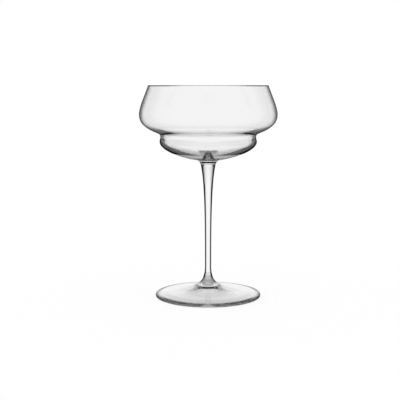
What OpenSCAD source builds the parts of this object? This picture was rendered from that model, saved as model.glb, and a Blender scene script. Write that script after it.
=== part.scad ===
// Stepped cocktail glass on a slender stem, three pieces of clear glass fused face to face.
// Lengths are in millimetres. The glass stands on z = 0 with its axis on +Z.
// Each piece is one closed outline turned about the axis, drawn from its joint face upwards.

/* [Foot] */
// Diameter of the foot
foot_d = 81; // [72:0.5:90]
// Thickness of the foot's rounded edge
foot_edge_t = 2.6; // [2:0.1:3.4]
// Rise of the foot's upper face towards the middle, in degrees
foot_slope = 7.4; // [5:0.1:10]
// Height of the hub, up to the face that the stem is fused to
hub_h = 16; // [13:0.5:20]
// Diameter of the hub's top face, where the stem starts
hub_d = 6.7; // [6:0.1:8]
// Lean of the hub's side at its top face, in degrees from upright
hub_lean = 15.3; // [10:0.1:20]
// Width of the flat ring that the glass rests on
rest_ring_w = 1.5; // [1:0.1:3]
// Depth of the hollow under the foot, in its middle
foot_hollow_h = 5.9; // [4.5:0.1:6.5]
// How much steeper than the foot's upper face the hollow's side leaves the ring, in degrees
hollow_flare = 0.4; // [0:0.1:1.5]

/* [Stem] */
// Length of the stem between its two fused faces
stem_len = 85; // [70:0.5:110]
// Diameter of the stem at its thinnest
stem_d = 4.8; // [4:0.1:5.8]
// Height of the thinnest place above the hub
waist_h = 14; // [10:0.5:20]
// Diameter of the stem's top face, where the bowl starts
boss_d = 10.9; // [9:0.1:13]
// Lean of the stem's side at its top face, in degrees from upright
boss_lean = 11.2; // [6:0.1:16]

/* [Lower cup] */
// Height of the fillet between the stem and the cup
boss_h = 4.6; // [3.5:0.1:6]
// Diameter where that fillet meets the cup's underside
root_d = 17.7; // [15:0.1:21]
// Slope of the cup's underside there, in degrees from level
root_slope = 8.4; // [5:0.1:12]
// Height of the cup from the fillet to its widest place
cup_h = 14; // [11:0.1:18]
// Diameter of the cup at its widest, outside
cup_d = 74; // [70:0.5:78]
// Wall of the cup at its widest
cup_t = 2.3; // [1.9:0.1:3]
// Thickness of the cup's floor above the fillet's top
floor_t = 2; // [1.6:0.1:3]

/* [Step] */
// Height of the step's crease above the cup's widest place
crease_h = 5.6; // [4.8:0.1:7]
// How far the crease is drawn in from the cup's widest place
crease_inset = 0.6; // [0.2:0.1:1.4]
// Rounding of the crease, outside
crease_r = 2.8; // [1.5:0.1:4]
// Slope of the ledge that leads out from the crease, in degrees from level
ledge_slope = 22; // [17:0.5:26]
// Thickness of the ledge
ledge_t = 1.3; // [1:0.05:1.6]

/* [Upper bowl] */
// Height of the belly above the crease
belly_h = 14.8; // [12:0.1:19]
// Diameter of the belly, the widest place of the glass
belly_d = 105; // [98:0.5:112]
// Wall of the bowl at the belly
belly_t = 1.55; // [1.3:0.05:2]
// Height of the rim above the belly
rim_h = 22.2; // [16:0.1:30]
// Diameter of the rim, outside
rim_d = 91.2; // [86:0.1:97]
// Wall of the bowl at the rim
rim_t = 1.1; // [0.9:0.05:1.5]
// Lean of the wall towards the axis at the rim, in degrees
rim_lean = 20.3; // [14:0.1:26]

/* [Hidden] */
$fn = 128;
clear_glass = [0.88, 0.92, 0.93, 0.5];

// Steps of a long curve, of a short one and of a half round
long_steps = 18;
short_steps = 8;
round_steps = 10;

// Heights above the table, each piece standing on the one below it
boss_z = hub_h + stem_len;
root_z = boss_z + boss_h;
cup_z = root_z + cup_h;
crease_z = cup_z + crease_h;
belly_z = crease_z + belly_h;
rim_z = belly_z + rim_h;
floor_z = root_z + floor_t;

// Outer places of the bowl, as [radius, height]
root = [root_d / 2, root_z];
cup_side = [cup_d / 2, cup_z];
// Where the cup's side and the ledge would meet with no rounding
crease = [cup_side.x - crease_inset, crease_z];
belly = [belly_d / 2, belly_z];
// The lip is a half round across the wall, and its crown is the rim
lip_r = rim_t / 2;
lip_out = [rim_d / 2, rim_z - lip_r * (1 - sin(rim_lean))];

// Inner places of the bowl
cup_in = [cup_d / 2 - cup_t, cup_z];
belly_in = [belly_d / 2 - belly_t, belly_z];
lip_in = lip_out + rim_t * heading(180 + rim_lean);
// Where the ledge's upper face and the cup's wall would meet with no rounding
ledge_edge = [cup_in.x, crease_z + ledge_t / cos(ledge_slope) - (crease.x - cup_in.x) * tan(ledge_slope)];

// The joint faces, each shared by the two pieces that meet there
hub_rim = [hub_d / 2, hub_h];
boss_rim = [boss_d / 2, boss_z];

// How far each curve keeps its end headings: [at its lower end, at its upper end], as shares of its size
foot_shares = [0.8, 0.33];
stem_foot_shares = [0.32, 0.57];
stem_shares = [0.5, 0.17];
boss_shares = [0.53, 0.42];
cup_shares = [0.47, 0.45];
crease_shares = [0.34, 0.34];
ledge_shares = [0.6, 0.52];
ledge_top_shares = [0.64, 0.57];
wall_shares = [0.25, 0.47];
floor_shares = [0.47, 0.4];
hollow_shares = [0.27, 0.93];

// Unit step in the drawing plane at an angle from level
function heading(angle) = [cos(angle), sin(angle)];

// Smooth curve from one place to another, leaving and arriving at the given angles.
// The reaches say how far it keeps close to each. The first point is left to the curve before.
function curve(from, leave, reach_out, to, arrive, reach_in, steps) =
    let(near = from + reach_out * heading(leave), far = to - reach_in * heading(arrive))
    [for (i = [1:steps]) let(t = i / steps, u = 1 - t)
        u * u * u * from + 3 * u * u * t * near + 3 * u * t * t * far + t * t * t * to];

// Points of a round of a given radius from one angle to another, without its first point
function round(centre, radius, start, end, steps) =
    [for (i = [1:steps]) centre + radius * heading(start + (end - start) * i / steps)];

// How far on each side of the corner under the ledge a round of a given radius begins
function ledge_reach(radius) = radius * tan((90 - ledge_slope) / 2);

// The round from the cup's side to the ledge, in the corner where the two would meet
function ledge_round(corner, radius) =
    let(low = corner - ledge_reach(radius) * heading(90))
    round(low + radius * heading(0), radius, 180, 90 + ledge_slope, short_steps);

// The stem's side, from the hub's face to the bowl's face
function stem_side() =
    let(waist = [stem_d / 2, hub_h + waist_h], upper_h = stem_len - waist_h)
    concat(
        curve(hub_rim, 90 + hub_lean, stem_foot_shares[0] * waist_h,
              waist, 90, stem_foot_shares[1] * waist_h, short_steps),
        curve(waist, 90, stem_shares[0] * upper_h,
              boss_rim, 90 - boss_lean, stem_shares[1] * upper_h, long_steps));

// The foot's side, from the resting ring round the edge and up to the hub's face
function foot_side() =
    let(edge_r = foot_edge_t / 2,
        edge = [foot_d / 2 - edge_r, edge_r],
        edge_top = edge + edge_r * heading(90 - foot_slope))
    concat(
        round(edge, edge_r, -90, 90 - foot_slope, round_steps),
        curve(edge_top, 180 - foot_slope, foot_shares[0] * foot_d / 2,
              hub_rim, 90 + hub_lean, foot_shares[1] * hub_h, 2 * long_steps));

// The bowl's outside, from the stem's face to the lip
function bowl_outside() =
    let(reach = ledge_reach(crease_r),
        low = crease - reach * heading(90),
        out = crease + reach * heading(ledge_slope))
    concat(
        curve(boss_rim, 90 - boss_lean, boss_shares[0] * boss_h,
              root, root_slope, boss_shares[1] * boss_h, short_steps),
        curve(root, root_slope, cup_shares[0] * (cup_side.x - root.x),
              cup_side, 90, cup_shares[1] * cup_h, long_steps),
        curve(cup_side, 90, crease_shares[0] * (low.y - cup_z),
              low, 90, crease_shares[1] * (low.y - cup_z), short_steps),
        ledge_round(crease, crease_r),
        curve(out, ledge_slope, ledge_shares[0] * (belly.x - crease.x) - reach,
              belly, 90, ledge_shares[1] * belly_h, long_steps),
        curve(belly, 90, wall_shares[0] * rim_h,
              lip_out, 90 + rim_lean, wall_shares[1] * rim_h, long_steps));

// The bowl's inside, from the middle of its floor to the lip. Its wall stays even round the crease.
function bowl_inside() =
    let(edge_r = crease_r + ledge_t,
        reach = ledge_reach(edge_r),
        low = ledge_edge - reach * heading(90),
        out = ledge_edge + reach * heading(ledge_slope))
    concat(
        [[0, floor_z]],
        curve([0, floor_z], 0, floor_shares[0] * cup_in.x,
              cup_in, 90, floor_shares[1] * (cup_z - floor_z), long_steps),
        [low],
        ledge_round(ledge_edge, edge_r),
        curve(out, ledge_slope, ledge_top_shares[0] * (belly_in.x - ledge_edge.x) - reach,
              belly_in, 90, ledge_top_shares[1] * (belly_z - ledge_edge.y), long_steps),
        curve(belly_in, 90, wall_shares[0] * rim_h,
              lip_in, 90 + rim_lean, wall_shares[1] * rim_h, long_steps));

function reversed(points) = [for (i = [len(points) - 1:-1:0]) points[i]];

// Pressed foot: a low cone that sweeps up into the hub, hollow underneath, resting on a flat ring
module foot() {
    ring_out = foot_d / 2 - foot_edge_t / 2;
    ring_in = ring_out - rest_ring_w;
    color(clear_glass)
        rotate_extrude()
            polygon(concat(
                [[0, hub_h], [0, foot_hollow_h]],
                curve([0, foot_hollow_h], 0, hollow_shares[0] * ring_in,
                      [ring_in, 0], -(foot_slope + hollow_flare), hollow_shares[1] * ring_in, long_steps),
                [[ring_out, 0]],
                foot_side()));
}

// Drawn stem: thinnest just above the hub, swelling slowly towards the bowl
module stem() {
    color(clear_glass)
        rotate_extrude()
            polygon(concat([[0, boss_z], [0, hub_h], hub_rim], stem_side()));
}

// Blown bowl: a small thick-walled cup, a ledge that steps out from it, and a thin wall that leans in to the rim
module bowl() {
    lip_centre = (lip_out + lip_in) / 2;
    color(clear_glass)
        rotate_extrude()
            polygon(concat(
                [[0, boss_z], boss_rim],
                bowl_outside(),
                round(lip_centre, lip_r, rim_lean, 180 + rim_lean, round_steps),
                reversed([for (i = [0:len(bowl_inside()) - 2]) bowl_inside()[i]])));
}

foot();
stem();
bowl();
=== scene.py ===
"""Stepped cocktail glass on a slender stem: a blown bowl, a drawn stem and a pressed foot,
all of clear glass.

Each piece is drawn as an outline of smooth curves in the X-Z plane and spun about the glass's axis, +Z.
Sizes are in millimetres, as the glassmaker would give them, and mm() turns them to Blender's metres.
"""

import math

import bpy
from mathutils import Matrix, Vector


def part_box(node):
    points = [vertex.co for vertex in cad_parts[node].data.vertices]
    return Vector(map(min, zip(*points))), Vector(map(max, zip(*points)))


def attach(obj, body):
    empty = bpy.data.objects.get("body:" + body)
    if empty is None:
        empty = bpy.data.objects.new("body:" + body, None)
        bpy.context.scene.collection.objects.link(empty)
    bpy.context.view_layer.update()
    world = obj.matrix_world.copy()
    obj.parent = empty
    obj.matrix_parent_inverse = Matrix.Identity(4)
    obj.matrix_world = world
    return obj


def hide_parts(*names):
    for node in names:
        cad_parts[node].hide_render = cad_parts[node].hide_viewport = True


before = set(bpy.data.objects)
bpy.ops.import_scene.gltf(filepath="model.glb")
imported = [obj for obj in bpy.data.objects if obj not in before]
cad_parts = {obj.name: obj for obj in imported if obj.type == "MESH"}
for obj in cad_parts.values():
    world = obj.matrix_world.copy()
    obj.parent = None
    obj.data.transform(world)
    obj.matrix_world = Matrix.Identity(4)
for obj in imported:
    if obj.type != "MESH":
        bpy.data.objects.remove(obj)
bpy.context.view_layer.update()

MM = 0.001


def mm(*sizes):
    """Millimetres to metres: a number for one size, a Vector for more."""
    return sizes[0] * MM if len(sizes) == 1 else Vector([size * MM for size in sizes])


def in_mm(length):
    """Metres to millimetres."""
    return length / MM


# The pieces' boxes in the frame, in metres, and the sizes that they give
foot_low, foot_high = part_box("foot")
stem_low, stem_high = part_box("stem")
bowl_low, bowl_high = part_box("bowl")
FOOT_D = in_mm(foot_high.x - foot_low.x)
HUB_H = in_mm(foot_high.z)
BOSS_D = in_mm(stem_high.x - stem_low.x)
BOSS_Z = in_mm(stem_high.z)
BELLY_D = in_mm(bowl_high.x - bowl_low.x)
RIM_Z = in_mm(bowl_high.z)

# Foot
EDGE_T = 2.6
FOOT_SLOPE = 7.4
HUB_D = 6.7
HUB_LEAN = 15.3
REST_RING_W = 1.5
HOLLOW_H = 5.9
HOLLOW_FLARE = 0.4

# Stem
STEM_D = 4.8
WAIST_H = 14.0
BOSS_LEAN = 11.2

# Lower cup
BOSS_H = 4.6
ROOT_D = 17.7
ROOT_SLOPE = 8.4
CUP_H = 14.0
CUP_D = 74.0
CUP_T = 2.3
FLOOR_T = 2.0

# Step
CREASE_H = 5.6
CREASE_INSET = 0.6
CREASE_R = 2.8
LEDGE_SLOPE = 22.0
LEDGE_T = 1.3

# Upper bowl
BELLY_H = 14.8
BELLY_T = 1.55
RIM_D = 91.2
RIM_T = 1.1
RIM_LEAN = 20.3

# How far each curve keeps its end headings, at its lower end and at its upper end, as shares of its size
FOOT_SHARES = (0.8, 0.33)
STEM_FOOT_SHARES = (0.32, 0.57)
STEM_SHARES = (0.5, 0.17)
BOSS_SHARES = (0.53, 0.42)
CUP_SHARES = (0.47, 0.45)
CREASE_SHARES = (0.34, 0.34)
LEDGE_SHARES = (0.6, 0.52)
LEDGE_TOP_SHARES = (0.64, 0.57)
WALL_SHARES = (0.25, 0.47)
FLOOR_SHARES = (0.47, 0.4)
HOLLOW_SHARES = (0.27, 0.93)
# Reach of a curve that stands for a quarter round, as a share of its radius
ROUND_SHARE = 0.5523

# Steps of the spin round the axis, and of each curve of an outline
SPIN_STEPS = 288
CURVE_STEPS = 20
# Points closer than this are one point
MERGE_GAP = 0.001
# Faces that lean more than this from each other keep a sharp edge between them, in degrees
SHARP_ANGLE = 30
# A face belongs to a fused joint if it lies this near the joint's height and is this near to level
JOINT_GAP = 0.01
LEVEL_SHARE = 0.999

# The camera, fitted to the photograph. Its focal length and the axis's and the rim's places are in pixels.
PHOTO_SIZE = 400
PHOTO_AXIS_X = 208.2
PHOTO_RIM_Y = 85.3
CAMERA_DISTANCE = 706.0
CAMERA_FOCAL_PX = 927.0
CAMERA_NEAR = 10.0
CAMERA_FAR = 20000.0


def set_camera():
    """Camera at the height of the rim, tilted down so that the rim falls on its row of the photograph."""
    data = bpy.data.cameras.new("camera")
    camera = bpy.data.objects.new("camera", data)
    bpy.context.scene.collection.objects.link(camera)
    middle = PHOTO_SIZE / 2
    data.lens = CAMERA_FOCAL_PX / PHOTO_SIZE * data.sensor_width
    data.clip_start = mm(CAMERA_NEAR)
    data.clip_end = mm(CAMERA_FAR)
    aside = (middle - PHOTO_AXIS_X) / CAMERA_FOCAL_PX * CAMERA_DISTANCE
    camera.location = mm(aside, -CAMERA_DISTANCE, RIM_Z)
    tilt = math.atan((middle - PHOTO_RIM_Y) / CAMERA_FOCAL_PX)
    camera.rotation_euler = (math.radians(90) - tilt, 0, 0)
    bpy.context.scene.camera = camera


def linear(hex_colour):
    """An sRGB hex colour as linear red, green, blue and alpha."""
    parts = [int(hex_colour[i : i + 2], 16) / 255 for i in (1, 3, 5)]
    return [c / 12.92 if c <= 0.04045 else ((c + 0.055) / 1.055) ** 2.4 for c in parts] + [1.0]


def add_node(tree, kind, settings=None, links=None, stops=()):
    """Adds a shader node. settings go to its properties or its sockets, links to its sockets and stops to
    its colour ramp.
    """
    node = tree.nodes.new(kind)
    for name, value in (settings or {}).items():
        if isinstance(name, str) and hasattr(node, name):
            setattr(node, name, value)
        else:
            node.inputs[name].default_value = value
    for name, source in (links or {}).items():
        tree.links.new(source, node.inputs[name])
    for number, (position, colour) in enumerate(stops):
        elements = node.color_ramp.elements
        stop = elements[number] if number < len(elements) else elements.new(position)
        stop.position = position
        stop.color = linear(colour)
    return node


def new_tree(owner):
    """The node tree of a material or a world, with no node in it yet."""
    owner.use_nodes = True
    owner.node_tree.nodes.clear()
    return owner.node_tree


GLASS_IOR = 1.5
# Width and depth of the faint waves that working hot glass leaves in its surface
WAVE_W = 14.0
WAVE_H = 0.01
# Drawing the rod pulls the waves out along it, so that this share of them is left in its length
DRAWN_SHARE = 0.1
# How fast the pressed glass takes up light, per metre of glass
PRESSED_SMOKE = 12.0

# A Mix node's sockets for colours: the two that it mixes, and the result
COLOUR_A = 6
COLOUR_B = 7
COLOUR_MIXED = 2

# Heights of the cup's widest place and of the crease above it
CUP_Z = BOSS_Z + BOSS_H + CUP_H
CREASE_Z = CUP_Z + CREASE_H

# Stretches of a piece that have painted shade and painted reflection tones of their own: what each goes by,
# where its tones start to show and where they show in full. The radius less the height is greatest outside
# the cup's round corner.
CUP_SIDE = ("radius", CUP_D / 2 - 6.0, CUP_D / 2 - 4.0)
CUP_CORNER = ("radius less height", CUP_D / 2 - CUP_Z - 1.0, CUP_D / 2 - CUP_Z - 0.2)
CUP_BASE = ("radius", 25.7, 19.7)
BOWL_NECK = ("height", BOSS_Z + 3.5, BOSS_Z + 0.5)
LEDGE = ("height", CUP_Z + 2.9, CUP_Z + 4.4)
UPPER_WALL = ("height", CREASE_Z + 4.3, CREASE_Z + 5.8)
LIP = ("height", RIM_Z - 0.9, RIM_Z - 0.5)
STEM_TOP = ("height", BOSS_Z - 15.0, BOSS_Z - 11.0)
HUB_BASE = ("radius", 10.5, 7.5)
FOOT_OUTER = ("radius", 29.6, 32.8)
FOOT_RIM = ("radius", FOOT_D / 2 - 5.1, FOOT_D / 2 - 1.6)
FOOT_EDGE = ("radius", FOOT_D / 2 - 0.6, FOOT_D / 2 + 0.1)
HUB_SIDE = ("height", 9.9, 12.0)
HUB_TOP = ("height", 12.0, HUB_H)


def glass_surface(name, painted_reflection, painted_edge_shade, stretches=(), smoke=0.0, wave_scale=(1, 1, 1)):
    """Clear glass with painted shade. The first tones are a painted reflection: they darken what the surface
    mirrors, from a square look at it to what is thrown back inside it. The second tones are painted shade:
    they darken the glass as the surface turns away from the eye, in place of the dark sides of a room bent
    into view.
    Each stretch gives both anew, over those before it.
    """
    material = bpy.data.materials.new(name)
    tree = new_tree(material)
    place_at = add_node(tree, "ShaderNodeTexCoord").outputs["Object"]
    level = add_node(tree, "ShaderNodeVectorMath", {"operation": "MULTIPLY", 1: (1, 1, 0)}, {0: place_at})
    from_axis = add_node(tree, "ShaderNodeVectorMath", {"operation": "LENGTH"}, {0: level.outputs[0]})
    above_floor = add_node(tree, "ShaderNodeSeparateXYZ", links={0: place_at})
    outward = add_node(tree, "ShaderNodeMath", {"operation": "SUBTRACT"},
                       {0: from_axis.outputs["Value"], 1: above_floor.outputs["Z"]})
    measures = {"radius": from_axis.outputs["Value"], "height": above_floor.outputs["Z"],
                "radius less height": outward.outputs[0]}
    fresnel = add_node(tree, "ShaderNodeFresnel", {"IOR": GLASS_IOR}).outputs[0]
    facing = add_node(tree, "ShaderNodeLayerWeight", {"Blend": 0.5}).outputs["Facing"]
    # Painted reflection and painted shade: ramps on the Fresnel and the facing darken the mirrored and the
    # clear tone
    reflection_paint = add_node(tree, "ShaderNodeValToRGB", links={"Fac": fresnel}, stops=painted_reflection).outputs[0]
    edge_shade_paint = add_node(tree, "ShaderNodeValToRGB", links={"Fac": facing}, stops=painted_edge_shade).outputs[0]
    for (measure, start, end), painted_reflection_here, painted_edge_shade_here in stretches:
        share = add_node(tree, "ShaderNodeMapRange", {"From Min": mm(start), "From Max": mm(end)},
                         {"Value": measures[measure]})
        reflection_paint_here = add_node(tree, "ShaderNodeValToRGB", links={"Fac": fresnel}, stops=painted_reflection_here)
        edge_shade_paint_here = add_node(tree, "ShaderNodeValToRGB", links={"Fac": facing}, stops=painted_edge_shade_here)
        mixed_reflection_paint = add_node(tree, "ShaderNodeMix", {"data_type": "RGBA"},
                               {0: share.outputs[0], COLOUR_A: reflection_paint, COLOUR_B: reflection_paint_here.outputs[0]})
        mixed_edge_shade_paint = add_node(tree, "ShaderNodeMix", {"data_type": "RGBA"},
                              {0: share.outputs[0], COLOUR_A: edge_shade_paint, COLOUR_B: edge_shade_paint_here.outputs[0]})
        reflection_paint = mixed_reflection_paint.outputs[COLOUR_MIXED]
        edge_shade_paint = mixed_edge_shade_paint.outputs[COLOUR_MIXED]
    # The painted edge shade darkens the painted reflection too
    reflection_paint = add_node(tree, "ShaderNodeMix", {"data_type": "RGBA", "blend_type": "MULTIPLY", "Factor": 1.0},
                     {COLOUR_A: reflection_paint, COLOUR_B: edge_shade_paint}).outputs[COLOUR_MIXED]
    waves_at = add_node(tree, "ShaderNodeMapping", {"Scale": wave_scale}, {"Vector": place_at})
    waves = add_node(tree, "ShaderNodeTexNoise", {"Scale": 1 / mm(WAVE_W), "Detail": 1.0},
                     {"Vector": waves_at.outputs[0]})
    wavy = add_node(tree, "ShaderNodeBump", {"Strength": 1.0, "Distance": mm(WAVE_H)},
                    {"Height": waves.outputs[0]})
    clear = add_node(tree, "ShaderNodeBsdfRefraction", {"IOR": GLASS_IOR, "Roughness": 0.0},
                     {"Color": edge_shade_paint, "Normal": wavy.outputs[0]})
    mirror = add_node(tree, "ShaderNodeBsdfAnisotropic", {"Roughness": 0.0},
                      {"Color": reflection_paint, "Normal": wavy.outputs[0]})
    both = add_node(tree, "ShaderNodeMixShader",
                    links={0: fresnel, 1: clear.outputs[0], 2: mirror.outputs[0]})
    out = add_node(tree, "ShaderNodeOutputMaterial", links={"Surface": both.outputs[0]})
    if smoke:
        grey = add_node(tree, "ShaderNodeVolumeAbsorption", {"Color": linear("#000000"), "Density": smoke})
        tree.links.new(grey.outputs[0], out.inputs["Volume"])
    return material


# Painted shade of a solid rod: clear in the middle and dark towards both edges, standing in for a rod that
# sends all but its middle past the eye
ROD_PAINTED_SHADE = [(0, "#ffffff"), (0.1, "#fafafa"), (0.2, "#e0e0e0"), (0.24, "#868686"), (0.28, "#444444"),
              (0.4, "#161616")]


def blown_glass():
    """Blown and fire-polished: clear and even. Painted shade darkens it round the thick cup, in the ledge
    above it and along the lip, standing in for light caught inside the wall, but not in the cup's floor or
    in its solid base. Painted reflection tones darken what it mirrors.
    """
    side_painted_reflection = [(0, "#747474"), (0.15, "#f4f4f4"), (0.5, "#696969"), (0.97, "#dedede"), (1, "#4c4c4c")]
    floor_painted_reflection = [(0, "#747474"), (0.15, "#f4f4f4"), (0.5, "#dcdcdc"), (0.97, "#f4f4f4"), (1, "#646464")]
    corner_painted_reflection = [(0, "#747474"), (0.12, "#a8a8a8"), (0.19, "#a8a8a8"), (0.27, "#404040"),
                       (0.6, "#404040"), (0.97, "#dedede"), (1, "#4c4c4c")]
    base_painted_reflection = side_painted_reflection[:-1] + [(1, "#f9f9f9")]
    ledge_painted_reflection = side_painted_reflection[:-1] + [(1, "#c0c0c0")]
    wall_painted_reflection = side_painted_reflection[:-1] + [(1, "#5c5c5c")]
    floor_painted_shade = [(0, "#ffffff"), (0.5, "#ffffff"), (0.62, "#f6f6f6"), (1, "#f4f4f4")]
    side_painted_shade = [(0, "#ffffff"), (0.5, "#ffffff"), (0.7, "#efefef"), (0.77, "#e0e0e0"), (0.82, "#303030"),
                   (1, "#303030")]
    base_painted_shade = [(0, "#ffffff"), (0.75, "#ffffff"), (1, "#f7f7f7")]
    wall_painted_shade = [(0, "#ffffff"), (0.35, "#ffffff"), (0.5, "#fbfbfb"), (0.65, "#f5f5f5"), (0.8, "#f0f0f0"),
                   (0.89, "#d4d4d4"), (0.95, "#7c7c7c"), (1, "#4c4c4c")]
    lip_painted_shade = [(0, "#ffffff"), (0.2, "#ededed"), (0.3, "#626262"), (0.45, "#303030")]
    stretches = [
        (CUP_SIDE, side_painted_reflection, side_painted_shade),
        (CUP_CORNER, corner_painted_reflection, side_painted_shade),
        (CUP_BASE, base_painted_reflection, base_painted_shade),
        (BOWL_NECK, base_painted_reflection, ROD_PAINTED_SHADE),
        (LEDGE, ledge_painted_reflection, wall_painted_shade),
        (UPPER_WALL, wall_painted_reflection, wall_painted_shade),
        (LIP, wall_painted_reflection, lip_painted_shade),
    ]
    return glass_surface("blown_glass", floor_painted_reflection, floor_painted_shade, stretches)


def drawn_glass():
    """Drawn from the hot gather: a solid rod, clear in the middle, with painted shade at both edges that
    stands in for the rod working as a lens. The painted shade is lighter at its top, where it widens.
    """
    painted_reflection = [(0, "#b1b1b1"), (0.3, "#959595"), (0.9, "#959595"), (1, "#3f3f3f")]
    top_painted_reflection = painted_reflection[:-1] + [(1, "#cccccc")]
    top_painted_shade = [(0, "#ffffff"), (0.2, "#e0e0e0"), (0.25, "#b4b4b4"), (0.35, "#969696"), (0.39, "#161616")]
    stretches = [(STEM_TOP, top_painted_reflection, top_painted_shade)]
    return glass_surface("drawn_glass", painted_reflection, ROD_PAINTED_SHADE, stretches, wave_scale=(1, 1, DRAWN_SHARE))


def pressed_glass():
    """Pressed: thicker and a little greyer. Painted shade darkens its rounded edge all round, in place of
    the dark of the room, and a faint smudge of painted shade shows under the hub. Painted reflection tones
    darken what it mirrors.
    """
    painted_reflection = [(0, "#3f3f3f"), (0.15, "#b0b0b0"), (0.35, "#ffffff"), (1, "#ffffff")]
    hub_painted_reflection = [(0, "#b1b1b1"), (0.95, "#b1b1b1"), (1, "#ffffff")]
    edge_painted_reflection = [(0, "#676767"), (0.2, "#e8e8e8"), (0.95, "#505050"), (1, "#ececec")]
    middle_painted_shade = [(0, "#ffffff"), (0.5, "#ffffff"), (0.6, "#f0f0f0"), (0.7, "#ffffff"), (1, "#f7f7f7")]
    base_painted_shade = [(0, "#ffffff"), (0.24, "#ffffff"), (0.27, "#b4b4b4"), (0.36, "#b4b4b4"),
                   (0.41, "#ffffff"), (1, "#f7f7f7")]
    outer_painted_shade = [(0, "#ffffff"), (0.5, "#ffffff"), (0.6, "#d9d9d9"), (0.66, "#e8e8e8"), (0.8, "#fdfdfd"),
                    (1, "#f0f0f0")]
    rim_painted_shade = outer_painted_shade[:4] + [(0.75, "#ffffff"), (0.84, "#848484"), (1, "#7c7c7c")]
    edge_painted_shade = [(0, "#ffffff"), (0.2, "#ffffff"), (0.5, "#e4e4e4"), (0.7, "#888888"), (0.9, "#727272")]
    hub_painted_shade = [(0, "#ffffff"), (0.2, "#ffffff"), (0.42, "#f4f4f4"), (0.55, "#a0a0a0"), (0.7, "#646464")]
    stretches = [
        (HUB_BASE, painted_reflection, base_painted_shade),
        (FOOT_OUTER, painted_reflection, outer_painted_shade),
        (FOOT_RIM, painted_reflection, rim_painted_shade),
        (HUB_SIDE, hub_painted_reflection, hub_painted_shade),
        (HUB_TOP, hub_painted_reflection, ROD_PAINTED_SHADE),
        (FOOT_EDGE, edge_painted_reflection, edge_painted_shade),
    ]
    return glass_surface("pressed_glass", painted_reflection, middle_painted_shade, stretches, smoke=PRESSED_SMOKE)


def fused_joint():
    """The face where two pieces have flowed together: nothing is left to see of it."""
    material = bpy.data.materials.new("fused_joint")
    tree = new_tree(material)
    clear = add_node(tree, "ShaderNodeBsdfTransparent", {"Color": linear("#ffffff")})
    add_node(tree, "ShaderNodeOutputMaterial", links={"Surface": clear.outputs[0]})
    return material


def heading(angle):
    """Unit step in the drawing plane, at an angle in degrees from level."""
    return Vector((math.cos(math.radians(angle)), 0, math.sin(math.radians(angle))))


def place(radius, height):
    """A place in the drawing plane."""
    return Vector((radius, 0, height))


def knot(at, leave=None, reach_out=0, arrive=None, reach_in=0):
    """A place on an outline, with where the curve comes in from and where it goes out to."""
    after = at + reach_out * heading(leave) if leave is not None else at
    before = at - reach_in * heading(arrive) if arrive is not None else at
    return before, at, after


def spun_piece(name, knots, material, joint_material):
    """Draws the outline through the knots, spins it about the axis and returns the closed piece."""
    curve = bpy.data.curves.new(name, "CURVE")
    curve.dimensions = "3D"
    curve.resolution_u = CURVE_STEPS
    spline = curve.splines.new("BEZIER")
    spline.bezier_points.add(len(knots) - 1)
    for point, (before, at, after) in zip(spline.bezier_points, knots):
        point.handle_left_type = point.handle_right_type = "FREE"
        point.handle_left, point.co, point.handle_right = before * MM, at * MM, after * MM
    outline = bpy.data.objects.new(name, curve)
    bpy.context.scene.collection.objects.link(outline)
    bpy.ops.object.select_all(action="DESELECT")
    bpy.context.view_layer.objects.active = outline
    outline.select_set(True)
    bpy.ops.object.convert(target="MESH")
    piece = bpy.context.view_layer.objects.active
    bpy.ops.object.mode_set(mode="EDIT")
    bpy.ops.mesh.select_all(action="SELECT")
    bpy.ops.mesh.remove_doubles(threshold=mm(MERGE_GAP))
    bpy.ops.mesh.select_all(action="SELECT")
    bpy.ops.mesh.spin(steps=SPIN_STEPS, angle=math.tau, center=(0, 0, 0), axis=(0, 0, 1))
    bpy.ops.mesh.select_all(action="SELECT")
    bpy.ops.mesh.remove_doubles(threshold=mm(MERGE_GAP))
    bpy.ops.mesh.select_all(action="SELECT")
    bpy.ops.mesh.normals_make_consistent(inside=False)
    bpy.ops.object.mode_set(mode="OBJECT")
    piece.data.materials.append(material)
    piece.data.materials.append(joint_material)
    joint_slot = piece.data.materials.find(joint_material.name)
    for face in piece.data.polygons:
        level = abs(face.normal.z) > LEVEL_SHARE
        height = in_mm(face.center.z)
        at_joint = min(abs(height - HUB_H), abs(height - BOSS_Z)) < JOINT_GAP
        if level and at_joint:
            face.material_index = joint_slot
    bpy.ops.object.shade_smooth_by_angle(angle=math.radians(SHARP_ANGLE))
    return piece


def foot_knots():
    """From the middle of the hollow, over the resting ring and the edge, up to the hub's face."""
    edge_r = EDGE_T / 2
    edge = place(FOOT_D / 2 - edge_r, edge_r)
    edge_top = edge + edge_r * heading(90 - FOOT_SLOPE)
    ring_in = FOOT_D / 2 - edge_r - REST_RING_W
    quarter = ROUND_SHARE * edge_r
    upper_quarter = quarter * (90 - FOOT_SLOPE) / 90
    return [
        knot(place(0, HOLLOW_H), 0, HOLLOW_SHARES[0] * ring_in),
        knot(place(ring_in, 0), arrive=-FOOT_SLOPE - HOLLOW_FLARE, reach_in=HOLLOW_SHARES[1] * ring_in),
        knot(place(edge.x, 0), 0, quarter),
        knot(place(FOOT_D / 2, edge_r), 90, upper_quarter, 90, quarter),
        knot(edge_top, 180 - FOOT_SLOPE, FOOT_SHARES[0] * FOOT_D / 2, 180 - FOOT_SLOPE, upper_quarter),
        knot(place(HUB_D / 2, HUB_H), arrive=90 + HUB_LEAN, reach_in=FOOT_SHARES[1] * HUB_H),
        knot(place(0, HUB_H)),
    ]


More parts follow.
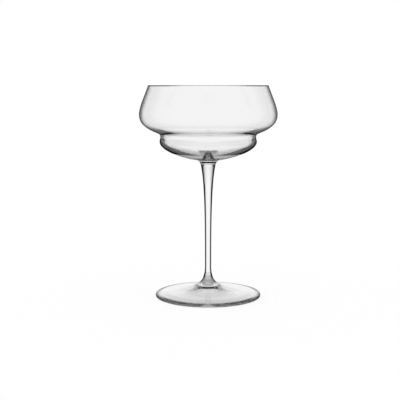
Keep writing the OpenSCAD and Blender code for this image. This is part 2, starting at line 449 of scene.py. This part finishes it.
def stem_knots():
    """From the hub's face, past the thinnest place, up to the bowl's face."""
    upper_h = BOSS_Z - HUB_H - WAIST_H
    return [
        knot(place(0, HUB_H)),
        knot(place(HUB_D / 2, HUB_H), 90 + HUB_LEAN, STEM_FOOT_SHARES[0] * WAIST_H),
        knot(place(STEM_D / 2, HUB_H + WAIST_H),
             90, STEM_SHARES[0] * upper_h, 90, STEM_FOOT_SHARES[1] * WAIST_H),
        knot(place(BOSS_D / 2, BOSS_Z), arrive=90 - BOSS_LEAN, reach_in=STEM_SHARES[1] * upper_h),
        knot(place(0, BOSS_Z)),
    ]


def bowl_knots():
    """From the stem's face, up the outside to the lip, and down the inside to the middle of the floor."""
    root = place(ROOT_D / 2, BOSS_Z + BOSS_H)
    cup = place(CUP_D / 2, root.z + CUP_H)
    crease = cup + place(-CREASE_INSET, CREASE_H)
    belly = place(BELLY_D / 2, crease.z + BELLY_H)
    rim_h = RIM_Z - belly.z
    lip_r = RIM_T / 2
    lip_out = place(RIM_D / 2, RIM_Z - lip_r * (1 - math.sin(math.radians(RIM_LEAN))))
    lip_in = lip_out + RIM_T * heading(180 + RIM_LEAN)
    lip_top = (lip_out + lip_in) / 2 + lip_r * heading(90 + RIM_LEAN)
    lip_reach = ROUND_SHARE * lip_r
    cup_in = cup - place(CUP_T, 0)
    belly_in = belly - place(BELLY_T, 0)
    slope = math.radians(LEDGE_SLOPE)
    ledge_edge = place(cup_in.x,
                       crease.z + LEDGE_T / math.cos(slope) - (crease.x - cup_in.x) * math.tan(slope))
    # The crease and the edge above it are rounds about one centre, in the corners where the sides would meet
    turn = 90 - LEDGE_SLOPE
    crease_reach = CREASE_R * math.tan(math.radians(turn / 2))
    crease_low = crease - crease_reach * heading(90)
    crease_out = crease + crease_reach * heading(LEDGE_SLOPE)
    crease_round = ROUND_SHARE * CREASE_R * turn / 90
    edge_reach = (CREASE_R + LEDGE_T) * math.tan(math.radians(turn / 2))
    edge_low = ledge_edge - edge_reach * heading(90)
    edge_out = ledge_edge + edge_reach * heading(LEDGE_SLOPE)
    edge_round = ROUND_SHARE * (CREASE_R + LEDGE_T) * turn / 90
    side_h = crease_low.z - cup.z
    ledge_reach = LEDGE_SHARES[0] * (belly.x - crease.x) - crease_reach
    top_reach = LEDGE_TOP_SHARES[0] * (belly_in.x - ledge_edge.x) - edge_reach
    floor = place(0, root.z + FLOOR_T)
    down = 270
    return [
        knot(place(0, BOSS_Z)),
        knot(place(BOSS_D / 2, BOSS_Z), 90 - BOSS_LEAN, BOSS_SHARES[0] * BOSS_H),
        knot(root, ROOT_SLOPE, CUP_SHARES[0] * (cup.x - root.x), ROOT_SLOPE, BOSS_SHARES[1] * BOSS_H),
        knot(cup, 90, CREASE_SHARES[0] * side_h, 90, CUP_SHARES[1] * CUP_H),
        knot(crease_low, 90, crease_round, 90, CREASE_SHARES[1] * side_h),
        knot(crease_out, LEDGE_SLOPE, ledge_reach, LEDGE_SLOPE, crease_round),
        knot(belly, 90, WALL_SHARES[0] * rim_h, 90, LEDGE_SHARES[1] * BELLY_H),
        knot(lip_out, 90 + RIM_LEAN, lip_reach, 90 + RIM_LEAN, WALL_SHARES[1] * rim_h),
        knot(lip_top, 180 + RIM_LEAN, lip_reach, 180 + RIM_LEAN, lip_reach),
        knot(lip_in, down + RIM_LEAN, WALL_SHARES[1] * rim_h, down + RIM_LEAN, lip_reach),
        knot(belly_in, down, LEDGE_TOP_SHARES[1] * (belly.z - ledge_edge.z), down, WALL_SHARES[0] * rim_h),
        knot(edge_out, 180 + LEDGE_SLOPE, edge_round, 180 + LEDGE_SLOPE, top_reach),
        knot(edge_low, arrive=down, reach_in=edge_round),
        knot(cup_in, down, FLOOR_SHARES[1] * (cup.z - floor.z)),
        knot(floor, arrive=180, reach_in=FLOOR_SHARES[0] * cup_in.x),
    ]


# How much of the glass's shadow the white floor keeps. The photograph shows next to none.
SHADOW_SHARE = 0.2
# The floor lies this far under the ring that the glass rests on
FLOOR_DROP = 0.05
FLOOR_SIZE = 16000.0
# How often light may bounce: it is thrown to and fro inside the walls and the foot before it gets out
GLASS_BOUNCES = 32
MIRROR_BOUNCES = 16


def set_floor():
    """A plain white floor, far wider than the camera sees. The glass shows it as pure white, and to the eye
    it keeps a little of the glass's shadow.
    """
    bpy.ops.object.select_all(action="DESELECT")
    bpy.ops.mesh.primitive_plane_add(size=mm(FLOOR_SIZE), location=(0, 0, mm(-FLOOR_DROP)))
    floor = bpy.context.view_layer.objects.active
    floor.name = "floor"
    material = bpy.data.materials.new("white_paper")
    tree = new_tree(material)
    path = add_node(tree, "ShaderNodeLightPath")
    paper = add_node(tree, "ShaderNodeBsdfDiffuse", {"Color": linear("#ffffff")})
    lit = add_node(tree, "ShaderNodeEmission", {"Color": linear("#ffffff"), "Strength": 1.0})
    direct = add_node(tree, "ShaderNodeMath", {"operation": "MULTIPLY", 1: 1 - SHADOW_SHARE},
                      {0: path.outputs["Is Camera Ray"]})
    glossy = add_node(tree, "ShaderNodeMath", {"operation": "MAXIMUM"},
                      {0: direct.outputs[0], 1: path.outputs["Is Glossy Ray"]})
    seen = add_node(tree, "ShaderNodeMath", {"operation": "MAXIMUM"},
                    {0: glossy.outputs[0], 1: path.outputs["Is Transmission Ray"]})
    both = add_node(tree, "ShaderNodeMixShader",
                    links={0: seen.outputs[0], 1: paper.outputs[0], 2: lit.outputs[0]})
    add_node(tree, "ShaderNodeOutputMaterial", links={"Surface": both.outputs[0]})
    floor.data.materials.append(material)


def set_world():
    """The same white light from all round."""
    world = bpy.data.worlds.new("white_room")
    bpy.context.scene.world = world
    tree = new_tree(world)
    sky = add_node(tree, "ShaderNodeBackground", {"Color": linear("#ffffff"), "Strength": 1.0})
    add_node(tree, "ShaderNodeOutputWorld", links={"Surface": sky.outputs[0]})


set_camera()
set_world()
set_floor()
joint = fused_joint()
pieces = [
    ("foot", foot_knots(), pressed_glass()),
    ("stem", stem_knots(), drawn_glass()),
    ("bowl", bowl_knots(), blown_glass()),
]
for node, knots, glass in pieces:
    piece = spun_piece("glass_" + node, knots, glass, joint)
    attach(piece, "root")
    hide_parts(node)

scene = bpy.context.scene
scene.view_settings.view_transform = "Standard"
scene.cycles.max_bounces = GLASS_BOUNCES
scene.cycles.transmission_bounces = GLASS_BOUNCES
scene.cycles.glossy_bounces = MIRROR_BOUNCES
scene.cycles.transparent_max_bounces = GLASS_BOUNCES
